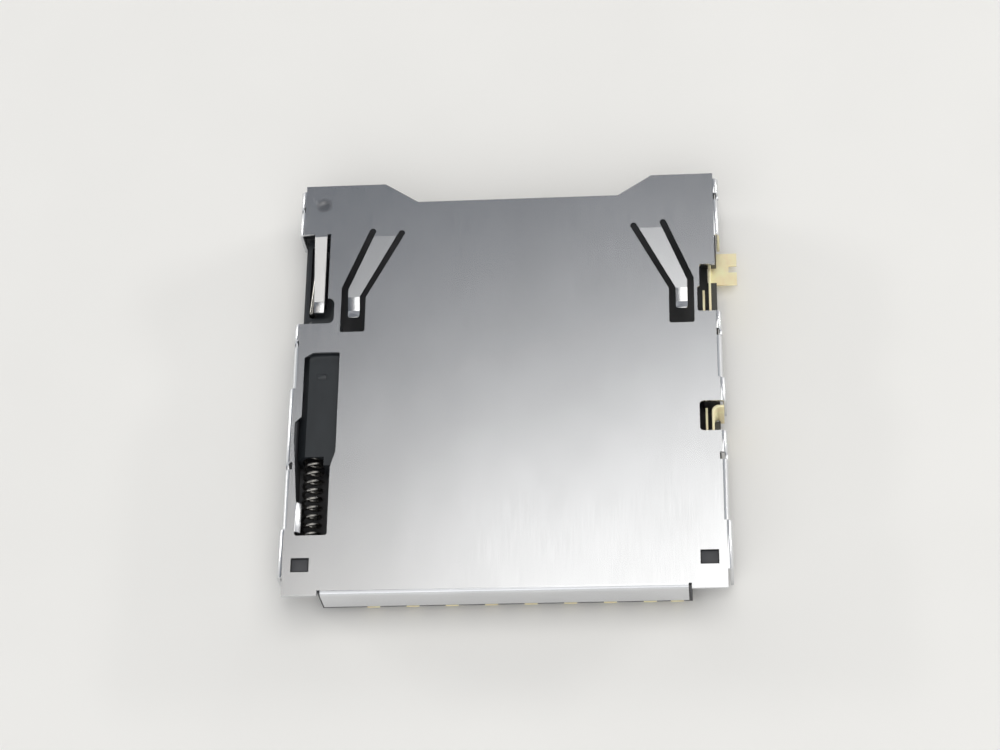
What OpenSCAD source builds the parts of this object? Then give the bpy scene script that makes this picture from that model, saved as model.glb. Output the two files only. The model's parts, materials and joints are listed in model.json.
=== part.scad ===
// Push-push memory card socket for a circuit board.
// The card mouth faces -Y, the board plane is Z = 0 and the origin is under the middle of the cover.

/* [Cover] */
// Width of the cover across its front side walls, for a card of the standard width
cover_w = 28; // [27.8:0.1:29]
// Length of the cover, from the mouth ears to the rear flap
cover_l = 29.5; // [29.2:0.1:31]
// Height of the cover's top above the board
cover_h = 2.9; // [2.8:0.05:3.3]
// Thickness of the cover's sheet metal
sheet_t = 0.2; // [0.15:0.01:0.25]
// Outside radius of the cover's bends
bend_r = 0.35; // [0.3:0.01:0.45]
// How far the middle side walls stand out from the front ones
mid_step = 0.15; // [0.05:0.01:0.2]
// How far the rear side walls stand out from the front ones
rear_step = 0.3; // [0.25:0.01:0.4]
// Gap between the side walls' lower edges and the board
wall_gap = 0.45; // [0.3:0.05:0.6]
// Width of each solder leg of the cover
leg_w = 1.2; // [0.8:0.1:1.6]
// Width of the rear flap
flap_w = 23; // [20:0.5:24]
// Height of the rear flap's lower edge above the board
flap_z = 0.8; // [0.6:0.05:1.2]
// Corner radius of the windows in the cover
window_r = 0.15; // [0.05:0.01:0.18]
// Width of the shallow dimple near the mouth
dimple_d = 0.9; // [0.6:0.05:1]

/* [Finger recess] */
// Depth of the recess in the mouth edge
recess_depth = 1.45; // [1.2:0.05:2]
// Width of the recess along its inner edge
recess_inner_w = 13.4; // [12:0.1:15]
// Width of the recess along the mouth edge
recess_outer_w = 17.9; // [17:0.1:19.5]

/* [Hold-down springs] */
// Distance of the springs' roots from the mouth edge
spring_root = 3.7; // [3.4:0.05:4.2]
// Distance of the springs' roots from the card's middle
spring_root_x = 8.7; // [8.6:0.05:9.1]
// Distance of the springs' tips from the card's middle
spring_tip_x = 10.8; // [10.6:0.05:10.9]
// Width of a spring at its root
spring_root_w = 1.55; // [1.4:0.05:2]
// Width of a spring at its tip
spring_tip_w = 0.76; // [0.6:0.02:0.9]
// Length of a spring from root to tip
spring_l = 6.2; // [6:0.1:7]
// Width of the slots that free a spring
spring_slot = 0.44; // [0.3:0.02:0.5]
// How far a spring's tip is pressed below the cover
spring_drop = 0.4; // [0.2:0.05:0.6]

/* [Card] */
// Width of the card
card_w = 24; // [23.8:0.05:24.1]
// Thickness of the card
card_t = 2.1; // [2:0.02:2.2]
// Thickness of the card along its edges
card_edge_t = 1.4; // [1.3:0.02:1.5]
// Room on each side of the card in its slot
card_play = 0.1; // [0.05:0.01:0.15]
// Room above the card in its slot
card_headroom = 0.1; // [0.05:0.01:0.15]

/* [Slider] */
// Width of the slider
slider_w = 1.92; // [1.85:0.01:1.98]
// Length of the slider's low head, which holds the cam groove
head_l = 6.5; // [6.3:0.1:7]
// Length of the slider's high body, which holds the spring
body_l = 9.8; // [9.5:0.1:10.2]
// Travel of the slider
travel = 4.8; // [4.4:0.1:5]
// Running clearance of the slider on all sides
slide_play = 0.05; // [0.03:0.01:0.08]
// Height of the slider's body below the cover
slider_gap = 0.2; // [0.15:0.01:0.3]
// Height of the slider's head below its body
head_drop = 0.75; // [0.7:0.01:0.85]
// Bevel along the outer top edge of the slider's body
body_bevel = 0.55; // [0.45:0.01:0.58]
// Reach of the finger that catches the card's corner
finger_reach = 2.1; // [1.8:0.1:2.2]
// Reach of the flange that runs over the card's thinner edge
flange_w = 0.6; // [0.4:0.05:0.65]

/* [Cam] */
// Diameter of the cam pin's wire
pin_d = 0.35; // [0.3:0.01:0.38]
// Clearance of the wire on each side of its groove
pin_play = 0.05; // [0.03:0.01:0.06]
// Depth of the cam groove
groove_depth = 0.6; // [0.5:0.02:0.65]
// Distance between the two lanes of the groove
lane_pitch = 1.04; // [1:0.01:1.06]
// Depth of the latching notch in the heart
notch_depth = 0.35; // [0.25:0.01:0.4]
// Height of the steps in the groove's floor that keep the pin going one way round
cam_step = 0.07; // [0.04:0.01:0.1]

/* [Eject spring] */
// Outside diameter of the coil
coil_d = 1.4; // [1.3:0.02:1.42]
// Diameter of the coil's wire
coil_wire = 0.22; // [0.18:0.01:0.24]
// Turns of the coil
coil_turns = 20; // [17:1:21]

/* [Contacts] */
// Thickness of the contact strip
strip_t = 0.15; // [0.1:0.01:0.18]
// Width of a signal contact
contact_w = 0.8; // [0.6:0.05:1]
// Pitch of the signal contacts
contact_pitch = 2.5; // [2.4:0.05:2.55]
// Distance of the outermost contact from its neighbour
outer_pitch = 1.7; // [1.6:0.05:1.9]
// Length of a contact's solder tail under the rear flap
tail_l = 0.7; // [0.5:0.05:0.9]
// Height of a contact's crest above the slot floor
crest_h = 0.9; // [0.7:0.05:1.1]
// Length of the bright solder pad of the detect switch
pad_l = 1.1; // [0.9:0.05:1.4]
// Width of that pad
pad_w = 2.35; // [2:0.05:2.6]

/* [Housing] */
// Thickness of the housing's rear wall
rear_wall = 2.75; // [2.5:0.05:2.9]
// Clearance between the housing and the cover
seat_play = 0.05; // [0.03:0.01:0.08]
// Diameter of the larger locating boss
boss_big_d = 1.5; // [1.2:0.1:1.8]
// Diameter of the smaller locating boss
boss_small_d = 1; // [0.8:0.1:1.1]
// Length of the locating bosses below the board plane
boss_l = 0.7; // [0.5:0.1:1]
// Lead-in at the mouth, on each side of the card
lead_in = 0.4; // [0.2:0.05:0.5]

/* [Hidden] */
$fn = 48;
eps = 0.01;
far = 20;

steel = [0.78, 0.79, 0.80];
black = [0.13, 0.14, 0.15];
gold = [0.90, 0.78, 0.50];
wire = [0.66, 0.66, 0.64];

// Datums
standard_card_w = 24;
half_w = (cover_w + card_w - standard_card_w) / 2;
front_y = -cover_l / 2;
rear_y = cover_l / 2;
under_z = cover_h - sheet_t;
mid_z = cover_h - sheet_t / 2;
floor_z = under_z - card_t - card_headroom;
plate_half = half_w - bend_r;

// Housing outline
case_setback = 0.45;
case_half = half_w - sheet_t - seat_play;
case_front = front_y + case_setback;
case_rear = rear_y - sheet_t - seat_play;
case_top = under_z - seat_play;
stop_y = rear_y - rear_wall;
rib_w = 0.22;
rib_h = 0.5;
rib_lap = 3;
boss_inset = 1.6;
boss_y = front_y + 5;
peg_l = 1.2;

// Slider lane along the +X wall, and the card slot beside it
lane_x1 = case_half - rib_w;
lane_x0 = lane_x1 - slider_w - 2 * slide_play;
lane_x = (lane_x0 + lane_x1) / 2;
slot_right = lane_x0 - slide_play;
slot_left = slot_right - card_w - 2 * card_play;
card_x = (slot_left + slot_right) / 2;

// Slider at rest, pressed towards the mouth
front_block = 2.95;
slider_y0 = case_front + front_block + 3 * slide_play;
head_y1 = slider_y0 + head_l;
slider_y1 = head_y1 + body_l;
slider_z0 = floor_z + slide_play;
body_z1 = under_z - slider_gap;
head_z1 = body_z1 - head_drop;
slider_x0 = lane_x0 + slide_play;
slider_x1 = lane_x1 - slide_play;
finger_tip = 0.6;
finger_y1 = slider_y1 + finger_tip;
flange_z0 = floor_z + card_edge_t + card_headroom;
ridge_d = 0.4;
ridge_l = 0.55;
ridge_x = lane_x - 0.45;
ridge_y = head_y1 + 4.1;
ridge_rise = 0.12;

// Recess in the slider's card side, and the lock spring in it
lock_y0 = head_y1 - 0.5;
lock_z0 = floor_z + 0.6;
lock_h = 0.55;
lock_t = 0.12;
lock_reach = 0.5;
lock_foot = 0.9;
lock_ramp = 1.2;
lock_crest = 0.4;
lock_tail = 1;
lock_tail_gap = 0.12;
lock_l = lock_foot + lock_ramp + lock_crest + lock_tail + 0.2;

// Cam groove and pin
groove_w = pin_d + 2 * pin_play;
groove_end = 0.3;
groove_setback = 0.5;
groove_y0 = slider_y0 + groove_setback;
groove_y1 = groove_y0 + travel + 2 * groove_end;
cross_l = 0.75;
lane_reach = lane_pitch / 2 + groove_w / 2;
heart_half = lane_pitch / 2 - groove_w / 2;
groove_z = head_z1 - groove_depth;
pin_tip_y = groove_y1 - groove_end;
pin_setback = 1;
pin_anchor_y = slider_y0 - pin_setback;
pin_l = pin_tip_y - pin_anchor_y;
pin_swing = 2 * asin(lane_pitch / 2 / pin_l);
pin_z = head_z1 + slide_play + pin_d / 2;
pin_leg = 1;

// Eject spring in the slider's channel
channel_wall = 0.15;
coil_room = 0.05;
coil_setback = 5.1;
coil_x = slider_x0 + channel_wall + coil_room + coil_d / 2;
coil_y0 = head_y1 + coil_setback;
coil_y1 = stop_y;
coil_z = body_z1 - channel_wall - coil_room - coil_d / 2;

// Signal contacts, numbered as on the card, with the ninth on the cut corner's side
contact_four = -0.9;
tail_y1 = rear_y - sheet_t;
tail_y0 = tail_y1 - tail_l;
tail_bend = 0.35;
anchor_z = 0.33;
beam_root = 0.1;
crest_y = stop_y - 5;
crest_half = 0.4;
crest_fall = 0.1;
nose_l = 0.4;
nose_fall = 0.3;
nose_room = 0.4;
slot_room = 0.08;
tunnel_play = 0.02;
function contact_x(n) =
    card_x + contact_four + (
        n == 9 ? 4 * contact_pitch :
        n == 8 ? -3 * contact_pitch - outer_pitch :
        (4 - n) * contact_pitch
    );

// Switch blades beside the card slot
fixed_x = slot_left - 0.55;
moving_x = slot_left - 0.14;
moving_anchor_x = slot_left - 0.27;
blade_top = under_z - 0.15;
blade_low = under_z - 0.3;
blade_foot = floor_z;
moving_foot = floor_z + 0.4;
anchor_l = 1.4;
bump_reach = 0.3;
bump_half = 0.2;
bump_ramp = 1;

// Detect switch, with the notched pad in front of it
detect_y = front_y + 8.85;
detect_room_y0 = detect_y - 2.9;
detect_room_y1 = detect_y + 4;
detect_root = 1.6;
detect_step_y = detect_y - 1.6;
detect_end_y = detect_y + 2.6;
detect_free_y = detect_y - 0.3;
detect_bump_y = detect_y + 2.7;
pad_front = detect_y - 4.2;
pad_notch = 0.5;
pad_notch_depth = 0.55;

// Protect switch, with a curled end that reaches the side wall
protect_y = rear_y - 11.7;
protect_room_y0 = protect_y - 1.35;
protect_room_y1 = protect_y + 3.6;
protect_free_y = protect_y - 0.75;
protect_bump_y = protect_y + 2.3;
curl_y = protect_y - 0.8;
curl_r = 0.35;
curl_x = -half_w;

// Cover features along its length
side_front = front_y + 0.4;
mid_y = front_y + 15.1;
back_y = rear_y - 4.5;
relief_y = rear_y - 1.25;
relief_half = half_w - 0.05;
latch_x = half_w - 1.15;
latch_y = rear_y - 2.05;
latch_w = 1.16;
latch_l = 0.95;
latch_play = 0.08;
latch_rise = 0.1;
notch_l = 0.5;
notch_ys = [front_y + 1.75, front_y + 11.82, rear_y - 8.9];
dimple_depth = 0.03;
dimple_r = (dimple_d * dimple_d / 4 + dimple_depth * dimple_depth) / (2 * dimple_depth);
dimple_in = 0.1;
dimple_y = front_y + 1.5;

// Hold-down springs, along their length and down from the cover
elbow_in = 4.75;
elbow_out = 4.2;
spring_flat = 0.3;
spring_ease = 0.14;
spring_nose = 0.55;
spring_upturn = 0.1;
spring_end_gap = 1.2;
spring_tip_r = 0.2;

// Window and leaf over the cam pin
pin_window_y0 = front_y + 3.7;
pin_window_y1 = front_y + 10.42;
pin_window_in = 0.66;
pin_pocket_in = 1.1;
pin_pocket_l = 1.85;
pin_pocket_r = 0.4;
pin_leaf_l = 5.65;
pin_leaf_w = 0.84;
pin_leaf_tip_w = 0.64;
pin_leaf_flat = 0.2;
pin_leaf_tip = 0.8;

// Window over the slider and the eject spring, with the tab on its outer edge
lane_window_y0 = slider_y0 + 9;
lane_window_y1 = rear_y - 4.05;
lane_window_x0 = slider_x0 - flange_w - 0.06;
lane_window_x1 = lane_x + 0.7;
lane_narrow_x = lane_window_x0 + 0.32;
lane_narrow_y0 = slider_y1 - 0.2;
lane_narrow_y1 = slider_y1 + 0.9;
lane_cut_w = 0.55;
lane_cut_l = 0.35;
bulge_w = 0.42;
bulge_y0 = lane_window_y0 + 4.6;
bulge_rise = 0.4;
bulge_l = 1.2;
bulge_y1 = lane_window_y1 - 2.35;
tab_x = lane_window_x1 + 0.08;
tab_l = 2;
tab_gap = 0.3;
tab_in = 0.28;
tab_drop = 0.25;
tab_t = 0.16;

// Windows over the switch blades
detect_window_y0 = detect_y - 2;
detect_window_y1 = detect_y + 1.45;
detect_window_step = detect_y - 0.38;
detect_window_x = slot_left + 0.12;
detect_window_x1 = slot_left + 0.28;
protect_window_y0 = protect_y - 1.05;
protect_window_y1 = protect_y + 1.05;
protect_window_x = slot_left + 0.3;
protect_window_r = 0.25;

// Strip of constant thickness along a path of points
function unit(v) = v / norm(v);
function turned(v) = [-v[1], v[0]];
function mitre(path, i) =
    let (
        last = len(path) - 1,
        before = max(i, 1),
        after = min(i, last - 1),
        sum = turned(unit(path[before] - path[before - 1])) + turned(unit(path[after + 1] - path[after]))
    )
    sum * 2 / (sum * sum);
function shifted(path, d) = [for (i = [0 : len(path) - 1]) path[i] + mitre(path, i) * d];
function backwards(path) = [for (i = [len(path) - 1 : -1 : 0]) path[i]];
function ribbon(path, t) = concat(shifted(path, t / 2), backwards(shifted(path, -t / 2)));

// Extrusions of a flat drawing along X, between two X places, and along Y, between two Y places
module along_x(x0, x1) translate([x0, 0, 0]) rotate([90, 0, 90]) linear_extrude(x1 - x0) children();
module along_y(y0, y1) translate([0, y1, 0]) rotate([90, 0, 0]) linear_extrude(y1 - y0) children();
module between(z0, z1) translate([0, 0, z0]) linear_extrude(z1 - z0) children();
module block(x0, x1, y0, y1, z0, z1) translate([x0, y0, z0]) cube([x1 - x0, y1 - y0, z1 - z0]);

// Rectangle with rounded corners
module rounded(x0, x1, y0, y1, r) {
    translate([x0 + r, y0]) square([x1 - x0 - 2 * r, y1 - y0]);
    translate([x0, y0 + r]) square([x1 - x0, y1 - y0 - 2 * r]);
    for (x = [x0 + r, x1 - r], y = [y0 + r, y1 - r]) translate([x, y]) circle(r);
}

// Drawing whose outward corners are rounded
module softened(r) offset(r) offset(delta = -r) children();

// Quarter ring of a sheet bend
module bend() intersection() {
    difference() {
        circle(bend_r);
        circle(bend_r - sheet_t);
    }
    square(bend_r);
}

// Sheet turned down from the plate's edge at "out", to the lower edge "low"
module turned_down(out, low) {
    translate([out - sheet_t, low]) square([sheet_t, cover_h - bend_r - low]);
    translate([out - bend_r, cover_h - bend_r]) bend();
    translate([out - 2 * bend_r, under_z]) square([bend_r, sheet_t]);
}

// Finger recess in the mouth edge, from "y" inwards
module recess(y) polygon([
    [card_x - recess_outer_w / 2, y - eps],
    [card_x + recess_outer_w / 2, y - eps],
    [card_x + recess_inner_w / 2, y + recess_depth],
    [card_x - recess_inner_w / 2, y + recess_depth]
]);

module top_plate() between(under_z, cover_h) {
    difference() {
        translate([-plate_half, front_y]) square([2 * plate_half, rear_y - bend_r - front_y]);
        recess(front_y);
    }
    for (side = [-1, 1]) mirror([side < 0 ? 1 : 0, 0])
        translate([flap_w / 2 + sheet_t, relief_y])
            square([relief_half - flap_w / 2 - sheet_t, rear_y - relief_y]);
}

module side_wall() {
    along_y(side_front, mid_y) turned_down(half_w, wall_gap);
    along_y(mid_y, back_y) turned_down(half_w + mid_step, wall_gap);
    along_y(back_y, relief_y) turned_down(half_w + rear_step, wall_gap);
    block(half_w - sheet_t, half_w, side_front, side_front + leg_w, 0, wall_gap + eps);
    block(half_w + rear_step - sheet_t, half_w + rear_step, relief_y - leg_w, relief_y, 0, wall_gap + eps);
}

// Edge of a hold-down spring on the card's +X side, from "back" behind its root to "end" past its tip:
// the outer edge where "side" is 1, else the inner one
function spring_edge(side, back, end) =
    let (
        root = [spring_root_x + side * spring_root_w / 2, 0],
        elbow = [spring_tip_x + side * spring_tip_w / 2, side > 0 ? elbow_out : elbow_in]
    )
    [root + (root - elbow) * back / elbow[1], elbow, [elbow[0], spring_l + end]];

// Plan of that spring, grown by "room" on its sides
module spring_plan(room, back, end) polygon(concat(
    shifted(spring_edge(-1, back, end), room),
    backwards(shifted(spring_edge(1, back, end), -room))
));

module each_spring() for (side = [-1, 1])
    translate([card_x, front_y + spring_root, 0]) mirror([side < 0 ? 1 : 0, 0, 0]) children();

// Opening round a spring, with round ends beside its root
module spring_opening() between(under_z - 1, cover_h + 1) {
    softened(window_r) spring_plan(spring_slot, 0, spring_end_gap);
    for (side = [-1, 1])
        translate(shifted(spring_edge(side, 0, 0), -side * spring_slot / 2)[0]) circle(d = spring_slot);
}

// Spring that eases down to its elbow, then steeply to its turned-up nose
module hold_down_spring() intersection() {
    between(0, cover_h) softened(spring_tip_r) spring_plan(0, sheet_t + 2 * spring_tip_r, 0);
    along_x(0, half_w) polygon(ribbon([
        [-sheet_t, mid_z],
        [spring_flat, mid_z],
        [elbow_in, mid_z - spring_ease],
        [spring_l - spring_nose, mid_z - spring_drop],
        [spring_l, mid_z - spring_drop + spring_upturn]
    ], sheet_t));
}

// Window over the cam pin, open through the +X wall
module pin_window() between(-1, cover_h + 1) {
    translate([lane_x - pin_window_in, pin_window_y0]) square([far, pin_window_y1 - pin_window_y0]);
    rounded(lane_x - pin_pocket_in, half_w, pin_window_y1 - pin_pocket_l, pin_window_y1, pin_pocket_r);
}

// Leaf that keeps the cam pin down in its groove
module pin_leaf() {
    low_z = pin_z + pin_d / 2 + slide_play + sheet_t / 2;
    tip_y = pin_window_y0 + pin_leaf_l;
    intersection() {
        between(0, cover_h) polygon([
            [lane_x - pin_leaf_w / 2, pin_window_y0 - sheet_t],
            [lane_x + pin_leaf_w / 2, pin_window_y0 - sheet_t],
            [lane_x + pin_leaf_tip_w / 2, tip_y],
            [lane_x - pin_leaf_tip_w / 2, tip_y]
        ]);
        along_x(0, half_w) polygon(ribbon([
            [pin_window_y0 - sheet_t, mid_z],
            [pin_window_y0 + pin_leaf_flat, mid_z],
            [tip_y - pin_leaf_tip, low_z],
            [tip_y, low_z]
        ], sheet_t));
    }
}

// Window over the slider and the eject spring, with a bulge beside the slider's end
module lane_window() between(under_z - 1, cover_h + 1) softened(window_r) polygon([
    [lane_window_x0, lane_window_y0],
    [lane_window_x1 - lane_cut_w, lane_window_y0],
    [lane_window_x1, lane_window_y0 + lane_cut_l],
    [lane_window_x1, bulge_y0],
    [lane_window_x1 + bulge_w, bulge_y0 + bulge_rise],
    [lane_window_x1 + bulge_w, bulge_y0 + bulge_rise + bulge_l],
    [tab_x, bulge_y1],
    [tab_x, lane_window_y1],
    [lane_narrow_x, lane_window_y1],
    [lane_narrow_x, lane_narrow_y1],
    [lane_window_x0, lane_narrow_y0]
]);

// Tab turned down from that window's edge to keep the spring in its lane
module coil_tab() along_y(lane_window_y1 - tab_gap - tab_l, lane_window_y1 - tab_gap) polygon(ribbon([
    [tab_x + sheet_t, mid_z],
    [tab_x, mid_z],
    [tab_x - tab_in, mid_z - tab_drop]
], tab_t));

// Windows over the switch blades, open through the -X wall
module switch_windows() between(-1, cover_h + 1) {
    softened(window_r) {
        translate([-far, detect_window_y0])
            square([far + detect_window_x, detect_window_y1 - detect_window_y0]);
        translate([-far, detect_window_step])
            square([far + detect_window_x1, detect_window_y1 - detect_window_step]);
        translate([-far, pad_front - tunnel_play])
            square([far + bend_r - half_w, detect_window_y1 - pad_front]);
    }
    softened(protect_window_r) translate([-far, protect_window_y0])
        square([far + protect_window_x, protect_window_y1 - protect_window_y0]);
}

// Notch through the bend of a side wall
module edge_notch(side, y)
    block(side * half_w - bend_r, side * half_w + bend_r,
        y - notch_l / 2, y + notch_l / 2, under_z - bend_r, cover_h + 1);

module shell_cover() color(steel) {
    difference() {
        union() {
            top_plate();
            side_wall();
            mirror([1, 0, 0]) side_wall();
            along_x(-flap_w / 2, flap_w / 2) turned_down(rear_y, flap_z);
        }
        each_spring() spring_opening();
        pin_window();
        lane_window();
        switch_windows();
        for (side = [-1, 1]) {
            block(side * latch_x - latch_w / 2, side * latch_x + latch_w / 2,
                latch_y - latch_l / 2, latch_y + latch_l / 2, under_z - 1, cover_h + 1);
            for (y = notch_ys) edge_notch(side, y);
        }
        translate([lane_x - dimple_in, dimple_y, cover_h + dimple_r - dimple_depth]) sphere(dimple_r);
    }
    each_spring() hold_down_spring();
    pin_leaf();
    coil_tab();
}

// Tunnel, floor slot and tail well of one signal contact
module contact_room(n) {
    x = contact_x(n);
    wide = contact_w / 2 + slot_room;
    snug = contact_w / 2 + tunnel_play;
    tall = strip_t / 2 + tunnel_play;
    block(x - wide, x + wide, crest_y - crest_half - nose_l - nose_room, stop_y, -1, floor_z + 1);
    block(x - snug, x + snug, stop_y - eps, rear_y + 1, anchor_z - tall, anchor_z + tall);
    block(x - snug, x + snug, tail_y0 - tail_bend - tunnel_play, rear_y + 1, -1, anchor_z + tall);
}

// Snug slot for the anchored end of a switch blade
module blade_slot(x, y0, y1, low) {
    half = strip_t / 2 + tunnel_play;
    block(x - half, x + half, y0 - tunnel_play, y1 + tunnel_play, low, case_top + 1);
}

// Rooms for the two switches in the -X rail, and wells for their feet
module switch_room() {
    block(-far, slot_left + eps, detect_room_y0, detect_room_y1, floor_z, case_top + 1);
    block(-far, slot_left + eps, protect_room_y0, protect_room_y1, floor_z, case_top + 1);
    blade_slot(fixed_x, detect_room_y0 - detect_root, detect_room_y0, floor_z - eps);
    blade_slot(moving_anchor_x, detect_room_y1, detect_room_y1 + anchor_l, -1);
    blade_slot(fixed_x, protect_room_y1, protect_room_y1 + anchor_l, floor_z - eps);
    blade_slot(moving_anchor_x, protect_room_y1, protect_room_y1 + anchor_l, -1);
    pad_rear = pad_front + pad_w;
    block(-far, fixed_x + strip_t, pad_front - tunnel_play, pad_rear + tunnel_play, -1, floor_z + eps);
    block(-far, fixed_x - curl_r + strip_t, curl_y - strip_t, curl_y + strip_t, -1, floor_z + eps);
}

// Floor with a lead-in edge at the mouth
module floor_plate() along_x(-case_half, case_half) polygon([
    [case_front, 0],
    [case_front, floor_z - lead_in / 2],
    [case_front + lead_in, floor_z],
    [case_rear, floor_z],
    [case_rear, 0]
]);

// Wall beside the card slot: from the slot's side at "inner" to "outer", flared at the mouth
module slot_wall(inner, outer, y1) {
    way = sign(outer - inner);
    polygon([
        [outer, case_front],
        [inner + way * lead_in, case_front],
        [inner, case_front + 2 * lead_in],
        [inner, y1],
        [outer, y1]
    ]);
}

module housing() color(black) {
    difference() {
        union() {
            floor_plate();
            between(0, case_top) slot_wall(slot_left, -case_half, case_rear);
            block(-case_half, case_half, stop_y, case_rear, 0, case_top);
            between(0, head_z1) slot_wall(slot_right, case_half, case_front + front_block);
            between(0, case_top) slot_wall(slot_right, case_half, pin_anchor_y - pin_d);
            block(lane_x1, case_half, case_front, case_rear, 0, floor_z + rib_h);
            block(lane_x1, case_half, slider_y1 - rib_lap, case_rear, 0, case_top);
        }
        for (n = [1 : 9]) contact_room(n);
        switch_room();
        translate([lane_x, pin_anchor_y, pin_z - pin_leg - pin_play]) cylinder(d = pin_d + pin_play, h = far);
        between(-1, floor_z + 1) recess(case_front);
        for (side = [-1, 1]) mirror([side < 0 ? 1 : 0, 0, 0])
            block(flap_w / 2 + sheet_t, far, relief_y, far, -1, case_top + 1);
    }
    for (side = [-1, 1])
        block(side * latch_x - latch_w / 2 + latch_play, side * latch_x + latch_w / 2 - latch_play,
            latch_y - latch_l / 2 + latch_play, latch_y + latch_l / 2 - latch_play,
            case_top - eps, cover_h - latch_rise);
    translate([slot_left + boss_inset, boss_y, -boss_l]) cylinder(d = boss_big_d, h = boss_l + eps);
    translate([slot_right - boss_inset, boss_y, -boss_l]) cylinder(d = boss_small_d, h = boss_l + eps);
    translate([coil_x, stop_y + eps, coil_z]) rotate([90, 0, 0])
        cylinder(d = coil_d - 2 * coil_wire - 4 * coil_room, h = peg_l);
}

// Heart-shaped loop that the cam pin's tip runs round
module cam_loop() difference() {
    rounded(lane_x - lane_reach, lane_x + lane_reach, groove_y0, groove_y1, groove_w / 2);
    polygon([
        [lane_x - heart_half, groove_y0 + cross_l],
        [lane_x, groove_y0 + cross_l + notch_depth],
        [lane_x + heart_half, groove_y0 + cross_l],
        [lane_x + heart_half, groove_y1 - cross_l - heart_half],
        [lane_x, groove_y1 - cross_l],
        [lane_x - heart_half, groove_y1 - cross_l - heart_half]
    ]);
}

// Groove whose floor steps down at the mouth end and again behind the notch, then climbs the inner lane
module cam_groove() {
    notch_y = groove_y0 + cross_l + notch_depth;
    between(groove_z, head_z1 + 1) cam_loop();
    between(groove_z - cam_step, head_z1 + 1) intersection() {
        cam_loop();
        translate([lane_x - lane_reach, groove_y0]) square([lane_reach + heart_half, notch_y - groove_y0]);
    }
    intersection() {
        between(groove_z - 2 * cam_step, head_z1 + 1) cam_loop();
        along_x(lane_x - lane_reach, lane_x - heart_half) polygon([
            [groove_y0, groove_z - 2 * cam_step],
            [notch_y, groove_z - 2 * cam_step],
            [groove_y1 - cross_l, groove_z],
            [groove_y1 - cross_l, head_z1 + 1],
            [groove_y0, head_z1 + 1]
        ]);
    }
}

// Round-topped channel that the eject spring lies in
module coil_channel() along_y(coil_y0, slider_y1 + 1) {
    room = coil_d / 2 + coil_room;
    translate([coil_x, coil_z]) circle(room);
    translate([coil_x - room, floor_z - 1]) square([2 * room, coil_z - floor_z + 1]);
}

module slider() color(black) difference() {
    union() {
        block(slider_x0, slider_x1, slider_y0, head_y1, slider_z0, head_z1);
        along_y(head_y1 - eps, slider_y1) polygon([
            [slider_x0, slider_z0],
            [slider_x1, slider_z0],
            [slider_x1, body_z1 - body_bevel],
            [slider_x1 - body_bevel, body_z1],
            [slider_x0 - flange_w, body_z1],
            [slider_x0 - flange_w, flange_z0],
            [slider_x0, flange_z0]
        ]);
        between(slider_z0, body_z1) polygon([
            [slider_x0 + channel_wall, finger_y1 - finger_reach - finger_tip - channel_wall],
            [slider_x0 + channel_wall, finger_y1],
            [slider_x0 - finger_reach, finger_y1],
            [slider_x0 - finger_reach, finger_y1 - finger_tip]
        ]);
        translate([ridge_x - ridge_l / 2, ridge_y, body_z1 + ridge_rise - ridge_d / 2])
            rotate([0, 90, 0]) cylinder(d = ridge_d, h = ridge_l);
    }
    cam_groove();
    coil_channel();
    block(slider_x0 - 1, slider_x0 + lock_t + 2 * tunnel_play, lock_y0, lock_y0 + lock_l,
        lock_z0 - tunnel_play, lock_z0 + lock_h + tunnel_play);
}

// Leaf whose crest drops into the notch in the card's side
module card_lock_spring() color(steel) {
    x = slider_x0 + lock_t / 2 + tunnel_play;
    crest_y0 = lock_y0 + lock_foot + lock_ramp;
    crest_y1 = crest_y0 + lock_crest;
    between(lock_z0, lock_z0 + lock_h) polygon(ribbon([
        [x, lock_y0 + tunnel_play],
        [x, lock_y0 + lock_foot],
        [x - lock_reach, crest_y0],
        [x - lock_reach, crest_y1],
        [x - lock_tail_gap, crest_y1 + lock_tail]
    ], lock_t));
}

// Coil whose first and last turns lie closed
function coil_rise(turn, span) =
    turn < 1 ? turn * coil_wire :
    turn > coil_turns - 1 ? span - (coil_turns - turn) * coil_wire :
    coil_wire + (turn - 1) * (span - 2 * coil_wire) / (coil_turns - 2);

module eject_spring() color(wire) {
    sides = 6;
    per_turn = 14;
    rings = coil_turns * per_turn;
    span = coil_y1 - coil_y0 - coil_wire - 2 * tunnel_play;
    mean_r = coil_d / 2 - coil_wire / 2;
    points = [
        for (i = [0 : rings], j = [0 : sides - 1])
            let (
                a = 360 * i / per_turn,
                b = 360 * j / sides,
                r = mean_r + coil_wire / 2 * cos(b)
            )
            [r * cos(a), coil_rise(i / per_turn, span) + coil_wire / 2 * sin(b), r * sin(a)]
    ];
    walls = [
        for (i = [0 : rings - 1], j = [0 : sides - 1], half = [0, 1])
            let (
                k = (j + 1) % sides,
                a = i * sides + j,
                b = i * sides + k,
                c = (i + 1) * sides + k,
                d = (i + 1) * sides + j
            )
            half == 0 ? [a, c, b] : [a, d, c]
    ];
    ends = [[for (j = [0 : sides - 1]) j], [for (j = [sides - 1 : -1 : 0]) rings * sides + j]];
    translate([coil_x, coil_y0 + coil_wire / 2 + tunnel_play, coil_z])
        polyhedron(points, concat(walls, ends));
}

// Bent wire whose tip runs in the cam groove, resting in the outer lane
module cam_pin() color(wire) translate([lane_x, pin_anchor_y, pin_z]) rotate([0, 0, -pin_swing / 2]) {
    translate([0, 0, -pin_leg]) cylinder(d = pin_d, h = pin_leg);
    sphere(d = pin_d);
    rotate([-90, 0, 0]) cylinder(d = pin_d, h = pin_l);
    translate([0, pin_l, 0]) sphere(d = pin_d);
    translate([0, pin_l, groove_z + pin_play - pin_z]) cylinder(d = pin_d, h = pin_z - groove_z - pin_play);
}

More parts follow.
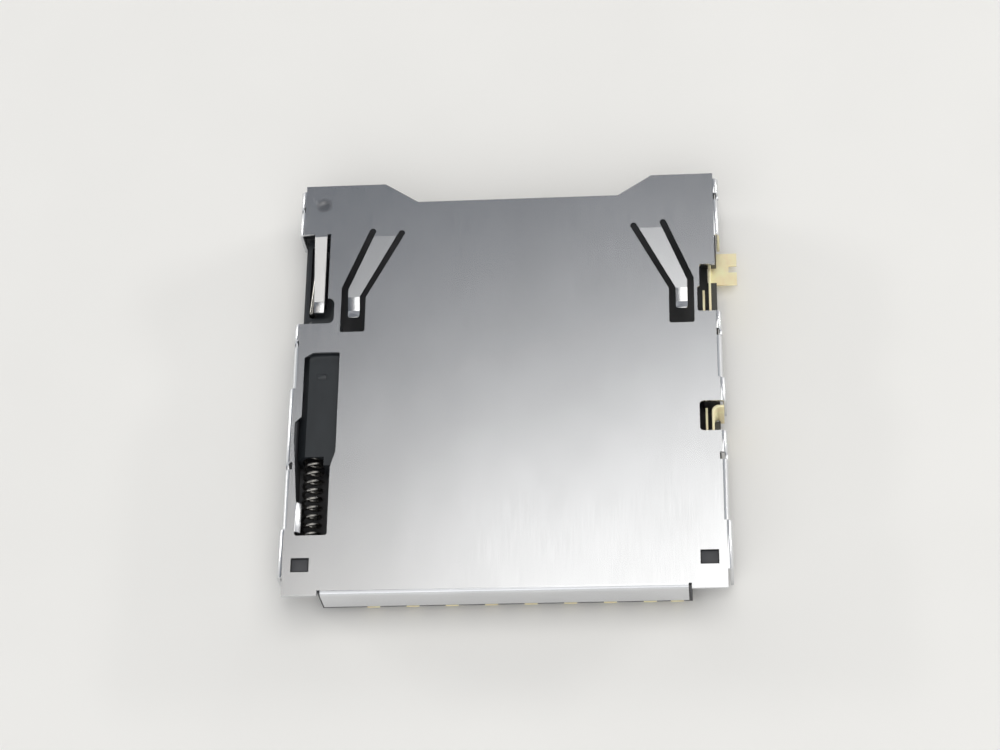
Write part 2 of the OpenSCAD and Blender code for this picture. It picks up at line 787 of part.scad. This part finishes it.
// Signal contact: tail on the board, anchored run in the rear wall, beam with a rounded crest
module contact(n) color(gold) {
    top_z = floor_z + crest_h - strip_t / 2;
    along_x(contact_x(n) - contact_w / 2, contact_x(n) + contact_w / 2) polygon(ribbon([
        [tail_y1, strip_t / 2],
        [tail_y0, strip_t / 2],
        [tail_y0 - tail_bend, anchor_z],
        [stop_y - beam_root, anchor_z],
        [crest_y + crest_half, top_z - crest_fall],
        [crest_y, top_z],
        [crest_y - crest_half, top_z - crest_fall],
        [crest_y - crest_half - nose_l, top_z - crest_fall - nose_fall]
    ], strip_t));
}

module upright(path, z0, z1) between(z0, z1) polygon(ribbon(path, strip_t));

// Outer blade of the detect switch, with the notched solder pad beside the cover
module detect_fixed_contact() color(gold) {
    pad_x0 = -half_w - pad_l;
    pad_mid = pad_front + pad_w / 2;
    upright([[fixed_x, detect_room_y0 - detect_root], [fixed_x, detect_step_y]], blade_foot, head_z1);
    upright([[fixed_x, detect_step_y - eps], [fixed_x, detect_end_y]], blade_foot, blade_top);
    upright([[fixed_x, pad_front], [fixed_x, pad_front + pad_w]], 0, blade_foot + eps);
    difference() {
        block(pad_x0, fixed_x, pad_front, pad_front + pad_w, 0, strip_t);
        block(pad_x0 - 1, pad_x0 + pad_notch_depth, pad_mid - pad_notch / 2, pad_mid + pad_notch / 2, -1, 1);
    }
}

// Inner blade of a switch: free end at "y0", bump into the card slot, foot through the floor behind
module moving_blade(y0, bump_y, anchor_y) color(gold) {
    bump_x = slot_left + bump_reach;
    upright([
        [moving_x, y0],
        [moving_x, bump_y - bump_half - bump_ramp],
        [bump_x, bump_y - bump_half],
        [bump_x, bump_y + bump_half],
        [moving_anchor_x, bump_y + bump_half + bump_ramp],
        [moving_anchor_x, anchor_y + anchor_l]
    ], moving_foot, blade_low);
    upright([[moving_anchor_x, anchor_y], [moving_anchor_x, anchor_y + anchor_l]], 0, moving_foot + eps);
}

module detect_moving_contact() moving_blade(detect_free_y, detect_bump_y, detect_room_y1);

// Outer blade of the protect switch, whose curled end has a leg down to the board
module protect_fixed_contact() color(gold) {
    curl_turn = 15;
    upright(concat(
        [[fixed_x, protect_room_y1 + anchor_l]],
        [for (a = [0 : curl_turn : 90]) [fixed_x - curl_r * (1 - cos(a)), curl_y + curl_r * (1 - sin(a))]],
        [[curl_x, curl_y]]
    ), blade_foot, blade_top);
    upright([[fixed_x - curl_r, curl_y], [curl_x, curl_y]], 0, blade_foot + eps);
}

module protect_moving_contact() moving_blade(protect_free_y, protect_bump_y, protect_room_y1);

shell_cover();
housing();
slider();
card_lock_spring();
eject_spring();
cam_pin();
for (n = [1 : 9]) contact(n);
detect_fixed_contact();
detect_moving_contact();
protect_fixed_contact();
protect_moving_contact();
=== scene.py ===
"""Dresses a push-push memory card socket: satin steel, black plastic, gold plating, spring wire."""

import json
import math
from typing import NamedTuple

import bmesh
import bpy
from bpy.props import FloatProperty, FloatVectorProperty, IntProperty, PointerProperty
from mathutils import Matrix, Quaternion, Vector


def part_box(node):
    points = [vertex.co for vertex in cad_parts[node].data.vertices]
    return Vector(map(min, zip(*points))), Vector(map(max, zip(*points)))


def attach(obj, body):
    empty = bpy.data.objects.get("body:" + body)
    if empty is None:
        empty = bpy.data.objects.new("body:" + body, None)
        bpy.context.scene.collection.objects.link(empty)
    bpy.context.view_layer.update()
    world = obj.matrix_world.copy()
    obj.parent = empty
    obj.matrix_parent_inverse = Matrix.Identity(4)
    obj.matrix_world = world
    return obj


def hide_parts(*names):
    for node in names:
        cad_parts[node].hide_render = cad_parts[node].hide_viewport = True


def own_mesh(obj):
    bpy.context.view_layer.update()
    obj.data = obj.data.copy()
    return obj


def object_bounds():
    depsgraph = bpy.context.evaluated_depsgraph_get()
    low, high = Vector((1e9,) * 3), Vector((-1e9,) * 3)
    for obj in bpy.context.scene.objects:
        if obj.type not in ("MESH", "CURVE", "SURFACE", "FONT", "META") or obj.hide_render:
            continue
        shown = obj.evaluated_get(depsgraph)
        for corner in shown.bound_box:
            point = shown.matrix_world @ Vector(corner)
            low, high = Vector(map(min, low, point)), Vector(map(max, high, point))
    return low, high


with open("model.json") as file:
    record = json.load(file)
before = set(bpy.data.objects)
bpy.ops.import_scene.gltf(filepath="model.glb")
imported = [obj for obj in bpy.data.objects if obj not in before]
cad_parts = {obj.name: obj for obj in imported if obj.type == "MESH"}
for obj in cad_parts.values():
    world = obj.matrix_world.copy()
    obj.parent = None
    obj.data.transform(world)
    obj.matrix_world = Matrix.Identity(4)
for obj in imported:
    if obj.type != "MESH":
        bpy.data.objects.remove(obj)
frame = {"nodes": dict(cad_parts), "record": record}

bl_info = {
    "name": "Card Socket Looks",
    "version": (1, 0, 0),
    "blender": (4, 5, 0),
    "location": "View3D > Sidebar > Socket",
    "description": "Edges, coils and finishes of a push-push memory card socket",
    "category": "Object",
}

MM = 0.001
CAD_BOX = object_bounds()
COIL_LOW, COIL_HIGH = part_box("eject_spring")

CONTACTS = [f"contact_{n}" for n in range(1, 10)]
BLADES = [
    "detect_fixed_contact",
    "detect_moving_contact",
    "protect_fixed_contact",
    "protect_moving_contact",
]

# Corners of the CAD's triangles that lie closer than this are one corner.
MERGE_DISTANCE = 0.0005 * MM
# Neighbouring faces that turn by less than this are joined to one.
FLAT_ANGLE = math.radians(0.05)
# Steps across a broken edge, and sides of the coil's round wire.
EDGE_STEPS = 2
WIRE_SIDES = 12

# Half of the table's width in metres.
TABLE_REACH = 1.5
# Each tint of the room's light with its height, from 0 at the horizon to 1 overhead.
ROOM_TINTS = (
    (0.1, (0.92, 0.915, 0.9)),
    (0.62, (0.485, 0.5, 0.525)),
    (0.84, (0.034, 0.047, 0.0735)),
)


class Lamp(NamedTuple):
    """A rectangular light that looks down before it is turned, in metres and degrees.

    Its power is the name of a setting of the stage.
    """

    name: str
    power: str
    place: tuple
    turn: tuple
    size: tuple
    tint: tuple


SOFT_WHITE = (1.0, 0.99, 0.97)
WARM_WHITE = (1.0, 0.98, 0.935)
CREAM = (1.0, 0.93, 0.82)
LAMPS = (
    Lamp("soft_box", "box_power", (-0.13, -0.05, 0.4), (0, 0, 10), (0.35, 0.31), WARM_WHITE),
    Lamp("fill", "fill_power", (0.08, 0.34, 0.44), (-38, 0, 0), (0.95, 0.6), SOFT_WHITE),
    Lamp("cream_card", "cream_power", (0.115, -0.1, 0.4), (0, 0, 0), (0.09, 0.09), CREAM),
    Lamp("side_strip", "side_power", (-0.3, -0.15, 0.1), (0, -72, 27), (0.02, 0.1), SOFT_WHITE),
    Lamp("side_strip", "side_power", (0.3, -0.15, 0.1), (0, 72, -27), (0.02, 0.1), SOFT_WHITE),
)


def length(name, description, default):
    """A length given in millimetres."""
    return FloatProperty(
        name=name, description=description, default=default * MM, unit="LENGTH", precision=6,
    )


def point(name, description, default):
    """A point given in millimetres."""
    return FloatVectorProperty(
        name=name, description=description, default=[part * MM for part in default],
        size=3, subtype="TRANSLATION", unit="LENGTH", precision=6,
    )


def colour(name, description, default):
    """A colour in linear light."""
    return FloatVectorProperty(
        name=name, description=description, default=default, size=3, subtype="COLOR",
    )


def angle(name, description, default):
    """An angle given in degrees."""
    return FloatProperty(
        name=name, description=description, default=math.radians(default), unit="ROTATION",
    )


def count(name, description, default, least):
    """A whole number."""
    return IntProperty(name=name, description=description, default=default, min=least)


def power(name, description, default):
    """The power of a lamp in watts."""
    return FloatProperty(name=name, description=description, default=default, unit="POWER")


class SocketSizes(bpy.types.PropertyGroup):
    """Sizes of the edges, the coil and the cover's dimple."""

    sheet_edge: length("Sheet edge", "Width of the broken edge on stamped sheet", 0.02)
    mould_edge: length("Moulded edge", "Radius along the edges of the mouldings", 0.035)
    strip_edge: length("Strip edge", "Width of the broken edge on the contact strips", 0.014)
    coil_wire: length("Coil wire", "Diameter of the eject spring's wire", 0.22)
    coil_turns: count("Coil turns", "Turns of the eject spring", 20, 4)
    coil_steps: count("Coil steps", "Steps in a turn of the eject spring", 28, 8)
    sharp_angle: angle("Sharp angle", "Edges that turn by more than this are broken", 25)
    fold_angle: angle("Fold angle", "Edges of wide faces that turn by more are broken too", 1.5)
    fold_width: length("Fold width", "Faces wider than this count as wide, not as facets", 0.4)
    # The dimple's dark look is painted shade in the steel's colour, centred here and fading out at
    # the reach below.
    dimple: point("Dimple", "Middle of the dark dimple in the cover", (12.42, -13.25, 2.9))
    dimple_shade_reach: length("Dimple reach", "How far the dimple's dark stain reaches", 0.62)


class SocketColours(bpy.types.PropertyGroup):
    """Colours of the finishes."""

    steel: colour("Steel", "Satin rolled stainless sheet", (0.74, 0.75, 0.77))
    housing: colour("Housing", "Matt black moulding", (0.05, 0.051, 0.055))
    slider: colour("Slider", "Slightly glossy black moulding", (0.022, 0.026, 0.03))
    gold: colour("Gold", "Plating of the contact strips", (0.94, 0.83, 0.59))
    wire: colour("Wire", "Drawn spring wire", (0.62, 0.6, 0.56))
    floor: colour("Table", "Pale table under the socket", (0.9, 0.89, 0.865))


class SocketStage(bpy.types.PropertyGroup):
    """Camera and lights."""

    aim: point("Aim", "Point that the camera looks at", (0.37, -0.2, 2.9))
    distance: length("Distance", "Distance of the camera from its aim", 161.62)
    azimuth: angle("Azimuth", "Turn of the camera about the socket, from the mouth", 191.1)
    elevation: angle("Elevation", "Angle of the camera above the table", 63.51)
    roll: angle("Roll", "Turn of the picture", -11.54)
    lens: FloatProperty(name="Lens", description="Focal length", default=90, unit="CAMERA")
    sky: FloatProperty(name="Room", description="Strength of the room's light", default=0.92, min=0)
    box_power: power("Soft box", "Power of the soft box", 0.61)
    fill_power: power("Fill", "Power of the fill light", 1.55)
    cream_power: power("Card", "Power of the cream card", 0.03)
    side_power: power("Sides", "Power of each low side light", 0.2)


def add(tree, kind, settings=None, **sockets):
    """Adds a node and sets or links its sockets, which are named with _ for a space."""
    made = tree.nodes.new(kind)
    for key, value in (settings or {}).items():
        setattr(made, key, value)
    for key, value in sockets.items():
        socket = made.inputs[key.replace("_", " ")]
        if isinstance(value, bpy.types.NodeSocket):
            tree.links.new(value, socket)
        else:
            socket.default_value = value
    return made


def opaque(rgb):
    """A colour with full alpha."""
    return (*rgb, 1.0)


def shade(rgb, factor):
    """A lighter or darker tone of a colour."""
    return tuple(min(1.0, part * factor) for part in rgb)


class Finish:
    """A material whose tone, gloss and relief come from grains over the piece's own coordinates."""

    def __init__(self, name):
        self.material = bpy.data.materials.new(name)
        self.material.use_nodes = True
        self.tree = self.material.node_tree
        self.shader = self.tree.nodes["Principled BSDF"]
        self.place = add(self.tree, "ShaderNodeTexCoord").outputs["Object"]

    def grain(self, cell, detail=3.0):
        """Noise whose cells have these three lengths in millimetres."""
        scale = tuple(1 / (side * MM) for side in cell)
        laid = add(self.tree, "ShaderNodeMapping", Vector=self.place, Scale=scale)
        noise = add(
            self.tree, "ShaderNodeTexNoise", Vector=laid.outputs[0], Scale=1.0, Detail=detail,
        )
        return noise.outputs[0]

    def spread(self, value, low, high, start=0.3, end=0.7):
        """Maps a grain's middle range to the span from low to high."""
        ranged = add(
            self.tree, "ShaderNodeMapRange", Value=value,
            From_Min=start, From_Max=end, To_Min=low, To_Max=high,
        )
        return ranged.outputs[0]

    def spot(self, centre, radius):
        """One at a place, fading to nothing at a radius from it."""
        shrink = 1 / radius
        laid = add(
            self.tree, "ShaderNodeMapping", Vector=self.place,
            Location=tuple(-part * shrink for part in centre), Scale=(shrink, shrink, shrink),
        )
        ball = add(
            self.tree, "ShaderNodeTexGradient", {"gradient_type": "SPHERICAL"},
            Vector=laid.outputs[0],
        )
        return ball.outputs[1]

    def tone(self, value, low, high):
        """Sets the colour between two tones; the low one may be a link to the colour set before."""
        # Inputs 6 and 7 and output 2 are the colours of the mix; their names repeat on the node.
        mixed = add(self.tree, "ShaderNodeMix", {"data_type": "RGBA"})
        self.tree.links.new(value, mixed.inputs["Factor"])
        if isinstance(low, bpy.types.NodeSocket):
            self.tree.links.new(low, mixed.inputs[6])
        else:
            mixed.inputs[6].default_value = opaque(low)
        mixed.inputs[7].default_value = opaque(high)
        self.tree.links.new(mixed.outputs[2], self.shader.inputs["Base Color"])
        return mixed.outputs[2]

    def mottle(self, value, rgb, low, high):
        """Varies a colour between a darker and a lighter tone by a grain."""
        return self.tone(self.spread(value, 0.0, 1.0), shade(rgb, low), shade(rgb, high))

    def gloss(self, value, low, high):
        """Varies the roughness between two values by a grain."""
        self.tree.links.new(self.spread(value, low, high), self.shader.inputs["Roughness"])

    def relief(self, value, strength, depth):
        """Adds a bump of this depth in millimetres."""
        bump = add(
            self.tree, "ShaderNodeBump", Height=value, Strength=strength, Distance=depth * MM,
        )
        self.tree.links.new(bump.outputs[0], self.shader.inputs["Normal"])


def satin_steel(colours, sizes):
    """Rolled sheet with fine lines along the card's way, soft clouds and painted shade in the
    dimple.
    """
    finish = Finish("satin_steel")
    finish.shader.inputs["Metallic"].default_value = 1.0
    lines = finish.grain((0.1, 2.6, 0.1), detail=4.0)
    clouds = finish.grain((5.0, 8.0, 5.0), detail=2.0)
    sheet = finish.mottle(clouds, colours.steel, 0.95, 1.03)
    # Painted shade: the steel's colour darkens towards the dimple's middle, in place of the shade
    # in its hollow.
    painted_dimple_shade = finish.spread(finish.spot(sizes.dimple, sizes.dimple_shade_reach), 0.0, 1.0, 0.0, 0.5)
    finish.tone(painted_dimple_shade, sheet, shade(colours.steel, 0.6))
    finish.gloss(lines, 0.24, 0.27)
    finish.relief(lines, 0.02, 0.002)
    return finish.material


def matt_moulding(colours):
    """Glass-filled plastic with a fine sparked texture and paler flow marks."""
    finish = Finish("matt_moulding")
    finish.shader.inputs["Specular IOR Level"].default_value = 0.45
    sparks = finish.grain((0.06, 0.06, 0.06), detail=3.0)
    flow = finish.grain((1.6, 4.0, 1.6), detail=3.0)
    finish.mottle(flow, colours.housing, 0.8, 1.3)
    finish.gloss(sparks, 0.42, 0.6)
    finish.relief(sparks, 0.25, 0.006)
    return finish.material


def glossy_moulding(colours):
    """Bearing plastic, smoother along the way it slides."""
    finish = Finish("glossy_moulding")
    finish.shader.inputs["Specular IOR Level"].default_value = 0.55
    rubs = finish.grain((0.08, 1.8, 0.08), detail=3.0)
    flow = finish.grain((0.9, 2.4, 0.9), detail=2.0)
    finish.mottle(flow, colours.slider, 0.9, 1.15)
    finish.gloss(rubs, 0.32, 0.42)
    finish.relief(rubs, 0.08, 0.003)
    return finish.material


def gold_plating(colours):
    """Plated strip with fine lines from the rolling and warmer patches."""
    finish = Finish("gold_plating")
    finish.shader.inputs["Metallic"].default_value = 1.0
    lines = finish.grain((0.05, 0.9, 0.05), detail=3.0)
    patches = finish.grain((0.7, 0.9, 0.7), detail=2.0)
    finish.mottle(patches, colours.gold, 1.02, 1.16)
    finish.gloss(lines, 0.58, 0.7)
    finish.relief(lines, 0.1, 0.003)
    return finish.material


def drawn_wire(colours):
    """Spring wire with draw marks and a faint oil film."""
    finish = Finish("drawn_wire")
    finish.shader.inputs["Metallic"].default_value = 1.0
    marks = finish.grain((0.05, 0.05, 0.05), detail=2.0)
    film = finish.grain((0.9, 1.4, 0.9), detail=2.0)
    finish.mottle(film, colours.wire, 0.4, 0.65)
    finish.gloss(marks, 0.2, 0.32)
    finish.relief(marks, 0.08, 0.002)
    return finish.material


def shown(bm, name, material, body, nodes):
    """Makes an object of a finished mesh that stands for CAD nodes and rides on their body."""
    mesh = bpy.data.meshes.new(name)
    for face in bm.faces:
        face.smooth = True
    bm.to_mesh(mesh)
    bm.free()
    piece = bpy.data.objects.new(name, mesh)
    bpy.context.scene.collection.objects.link(piece)
    mesh.materials.append(material)
    even = piece.modifiers.new("Even shading", "WEIGHTED_NORMAL")
    even.keep_sharp = True
    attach(piece, body)
    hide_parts(*nodes)
    return piece


def body_of(node):
    """Body that a CAD node belongs to."""
    bodies = frame["record"]["behaviour"]["bodies"]
    return next(body for body, nodes in bodies.items() if node in nodes)


def cornered(edge, sizes):
    """Whether an edge is a corner or a fold between wide faces, and not a facet line of a round."""
    if not edge.is_manifold:
        return False
    turn = edge.calc_face_angle(0.0)
    width = min(face.calc_area() for face in edge.link_faces) / edge.calc_length()
    return turn > sizes.sharp_angle or (turn > sizes.fold_angle and width > sizes.fold_width)


def dressed(node, name, material, edge):
    """A copy of a CAD node with flat faces joined and corners broken, or kept sharp at no width."""
    bm = bmesh.new()
    bm.from_mesh(frame["nodes"][node].data)
    bmesh.ops.remove_doubles(bm, verts=bm.verts, dist=MERGE_DISTANCE)
    bmesh.ops.dissolve_limit(bm, angle_limit=FLAT_ANGLE, verts=bm.verts, edges=bm.edges)
    corners = [e for e in bm.edges if cornered(e, bpy.context.scene.socket_sizes)]
    if edge > 0:
        bmesh.ops.bevel(
            bm, geom=corners, offset=edge, offset_type="OFFSET", affect="EDGES",
            segments=EDGE_STEPS, profile=0.5, material=-1, clamp_overlap=True,
        )
    else:
        for corner in corners:
            corner.smooth = False
    return shown(bm, name, material, body_of(node), [node])


class SOCKET_OT_cover(bpy.types.Operator):
    """Breaks the edges of the stamped cover and gives it the satin finish"""

    bl_idname = "socket.cover"
    bl_label = "Stamped cover"

    def execute(self, context):
        sizes = context.scene.socket_sizes
        steel = satin_steel(context.scene.socket_colours, sizes)
        dressed("shell_cover", "stamped_cover", steel, sizes.sheet_edge)
        dressed("card_lock_spring", "lock_leaf", steel, sizes.strip_edge)
        return {"FINISHED"}


class SOCKET_OT_mouldings(bpy.types.Operator):
    """Rounds the edges of the housing and of the slider"""

    bl_idname = "socket.mouldings"
    bl_label = "Housing and slider"

    def execute(self, context):
        sizes = context.scene.socket_sizes
        colours = context.scene.socket_colours
        dressed("housing", "moulded_housing", matt_moulding(colours), sizes.mould_edge)
        dressed("slider", "moulded_slider", glossy_moulding(colours), sizes.mould_edge)
        return {"FINISHED"}


class SOCKET_OT_strips(bpy.types.Operator):
    """Breaks the edges of the signal contacts and the switch blades and plates them"""

    bl_idname = "socket.strips"
    bl_label = "Contacts and blades"

    def execute(self, context):
        sizes = context.scene.socket_sizes
        gold = gold_plating(context.scene.socket_colours)
        for node in CONTACTS + BLADES:
            dressed(node, f"{node}_strip", gold, sizes.strip_edge)
        return {"FINISHED"}


class SOCKET_OT_wires(bpy.types.Operator):
    """Winds the eject spring as a smooth coil and polishes the cam pin"""

    bl_idname = "socket.wires"
    bl_label = "Eject spring and cam pin"

    def execute(self, context):
        sizes = context.scene.socket_sizes
        wire = drawn_wire(context.scene.socket_colours)
        dressed("cam_pin", "cam_wire", wire, 0.0)
        coil = self.wound(sizes, wire)
        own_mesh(coil)
        return {"FINISHED"}

    def wound(self, sizes, wire):
        """A round wire spun up the coil's axis, with a closed turn at each end."""
        thick = sizes.coil_wire
        middle = (COIL_LOW + COIL_HIGH) / 2
        axis = Vector((0, 1, 0))
        radius = (COIL_HIGH.x - COIL_LOW.x - thick) / 2
        rise = COIL_HIGH.y - COIL_LOW.y - thick
        open_turns = sizes.coil_turns - 2
        bm = bmesh.new()
        ring = bmesh.ops.create_circle(bm, cap_ends=True, radius=thick / 2, segments=WIRE_SIDES)
        start = Vector((middle.x + radius, COIL_LOW.y + thick / 2, middle.z))
        bmesh.ops.translate(bm, verts=ring["verts"], vec=start)
        end = bm.faces[:] + bm.edges[:] + bm.verts[:]
        centre = Vector((middle.x, 0, middle.z))
        for turns, height in ((1, thick), (open_turns, rise - 2 * thick), (1, thick)):
            steps = turns * sizes.coil_steps
            spun = bmesh.ops.spin(
                bm, geom=end, cent=centre, axis=axis, dvec=axis * height / steps,
                angle=math.tau * turns, steps=steps, use_merge=False,
            )
            end = spun["geom_last"]
        bmesh.ops.remove_doubles(bm, verts=bm.verts, dist=MERGE_DISTANCE)
        bmesh.ops.recalc_face_normals(bm, faces=bm.faces)
        node = "eject_spring"
        return shown(bm, "coiled_spring", wire, body_of(node), [node])


class SOCKET_OT_stage(bpy.types.Operator):
    """Lays the table, hangs the soft lights and sets the camera"""

    bl_idname = "socket.stage"
    bl_label = "Table, lights and camera"

    def execute(self, context):
        stage = context.scene.socket_stage
        self.table(context)
        self.room(context, stage.sky)
        for lamp in LAMPS:
            self.hang(context, lamp, getattr(stage, lamp.power))
        self.camera(context, stage)
        context.scene.view_settings.view_transform = "Standard"
        return {"FINISHED"}

    def table(self, context):
        """A pale table under the locating bosses."""
        bm = bmesh.new()
        bmesh.ops.create_grid(bm, x_segments=1, y_segments=1, size=TABLE_REACH)
        bmesh.ops.translate(bm, verts=bm.verts, vec=(0, 0, CAD_BOX[0][2]))
        mesh = bpy.data.meshes.new("table")
        bm.to_mesh(mesh)
        bm.free()
        table = bpy.data.objects.new("table", mesh)
        context.scene.collection.objects.link(table)
        finish = Finish("pale_table")
        finish.shader.inputs["Roughness"].default_value = 0.7
        clouds = finish.grain((14, 14, 14), detail=2.0)
        finish.mottle(clouds, context.scene.socket_colours.floor, 0.985, 1.01)
        mesh.materials.append(finish.material)

    def room(self, context, strength):
        """A room that is pale round the horizon and dark overhead."""
        world = bpy.data.worlds.new("room")
        world.use_nodes = True
        tree = world.node_tree
        way = add(tree, "ShaderNodeTexCoord").outputs["Generated"]
        height = add(tree, "ShaderNodeSeparateXYZ", Vector=way).outputs["Z"]
        ramp = add(tree, "ShaderNodeValToRGB", Fac=height)
        steps = ramp.color_ramp.elements
        # A ramp begins with two steps, and a third is needed.
        steps.new(0.5)
        for step, (level, tint) in zip(steps, ROOM_TINTS):
            step.position = level
            step.color = opaque(tint)
        tree.nodes["Background"].inputs["Strength"].default_value = strength
        tree.links.new(ramp.outputs[0], tree.nodes["Background"].inputs["Color"])
        context.scene.world = world

    def hang(self, context, lamp, watts):
        """Hangs a lamp."""
        data = bpy.data.lights.new(lamp.name, "AREA")
        data.shape = "RECTANGLE"
        data.size, data.size_y = lamp.size
        data.energy = watts
        data.color = lamp.tint
        light = bpy.data.objects.new(lamp.name, data)
        light.location = lamp.place
        light.rotation_euler = [math.radians(part) for part in lamp.turn]
        context.scene.collection.objects.link(light)

    def camera(self, context, stage):
        """A camera behind the socket, looking down at its cover."""
        flat = math.cos(stage.elevation)
        forward = Vector((
            -math.sin(stage.azimuth) * flat,
            math.cos(stage.azimuth) * flat,
            -math.sin(stage.elevation),
        ))
        data = bpy.data.cameras.new("camera")
        data.lens = stage.lens
        data.clip_start = MM
        camera = bpy.data.objects.new("camera", data)
        camera.location = Vector(stage.aim) - forward * stage.distance
        turn = forward.to_track_quat("-Z", "Y") @ Quaternion((0, 0, 1), stage.roll)
        camera.rotation_euler = turn.to_euler()
        context.scene.collection.objects.link(camera)
        context.scene.camera = camera


class SOCKET_PT_panel(bpy.types.Panel):
    """Lists the pieces and their sizes and colours"""

    bl_idname = "SOCKET_PT_panel"
    bl_label = "Card Socket"
    bl_space_type = "VIEW_3D"
    bl_region_type = "UI"
    bl_category = "Socket"

    def draw(self, context):
        for name in GROUPS:
            group = getattr(context.scene, name)
            box = self.layout.box()
            for key in group.__annotations__:
                box.prop(group, key)
        for step in OPERATORS:
            self.layout.operator(step.bl_idname)


GROUPS = {
    "socket_sizes": SocketSizes,
    "socket_colours": SocketColours,
    "socket_stage": SocketStage,
}
OPERATORS = (
    SOCKET_OT_cover,
    SOCKET_OT_mouldings,
    SOCKET_OT_strips,
    SOCKET_OT_wires,
    SOCKET_OT_stage,
)


def register():
    """Adds the groups, the operators and the panel."""
    for cls in (*GROUPS.values(), *OPERATORS, SOCKET_PT_panel):
        bpy.utils.register_class(cls)
    for name, group in GROUPS.items():
        setattr(bpy.types.Scene, name, PointerProperty(type=group))


def unregister():
    """Takes them away again."""
    for name in GROUPS:
        delattr(bpy.types.Scene, name)
    for cls in reversed((*GROUPS.values(), *OPERATORS, SOCKET_PT_panel)):
        bpy.utils.unregister_class(cls)


def main():
    """Dresses every piece in order and sets the stage."""
    register()
    bpy.ops.socket.cover()
    bpy.ops.socket.mouldings()
    bpy.ops.socket.strips()
    bpy.ops.socket.wires()
    bpy.ops.socket.stage()


if __name__ == "__main__":
    main()
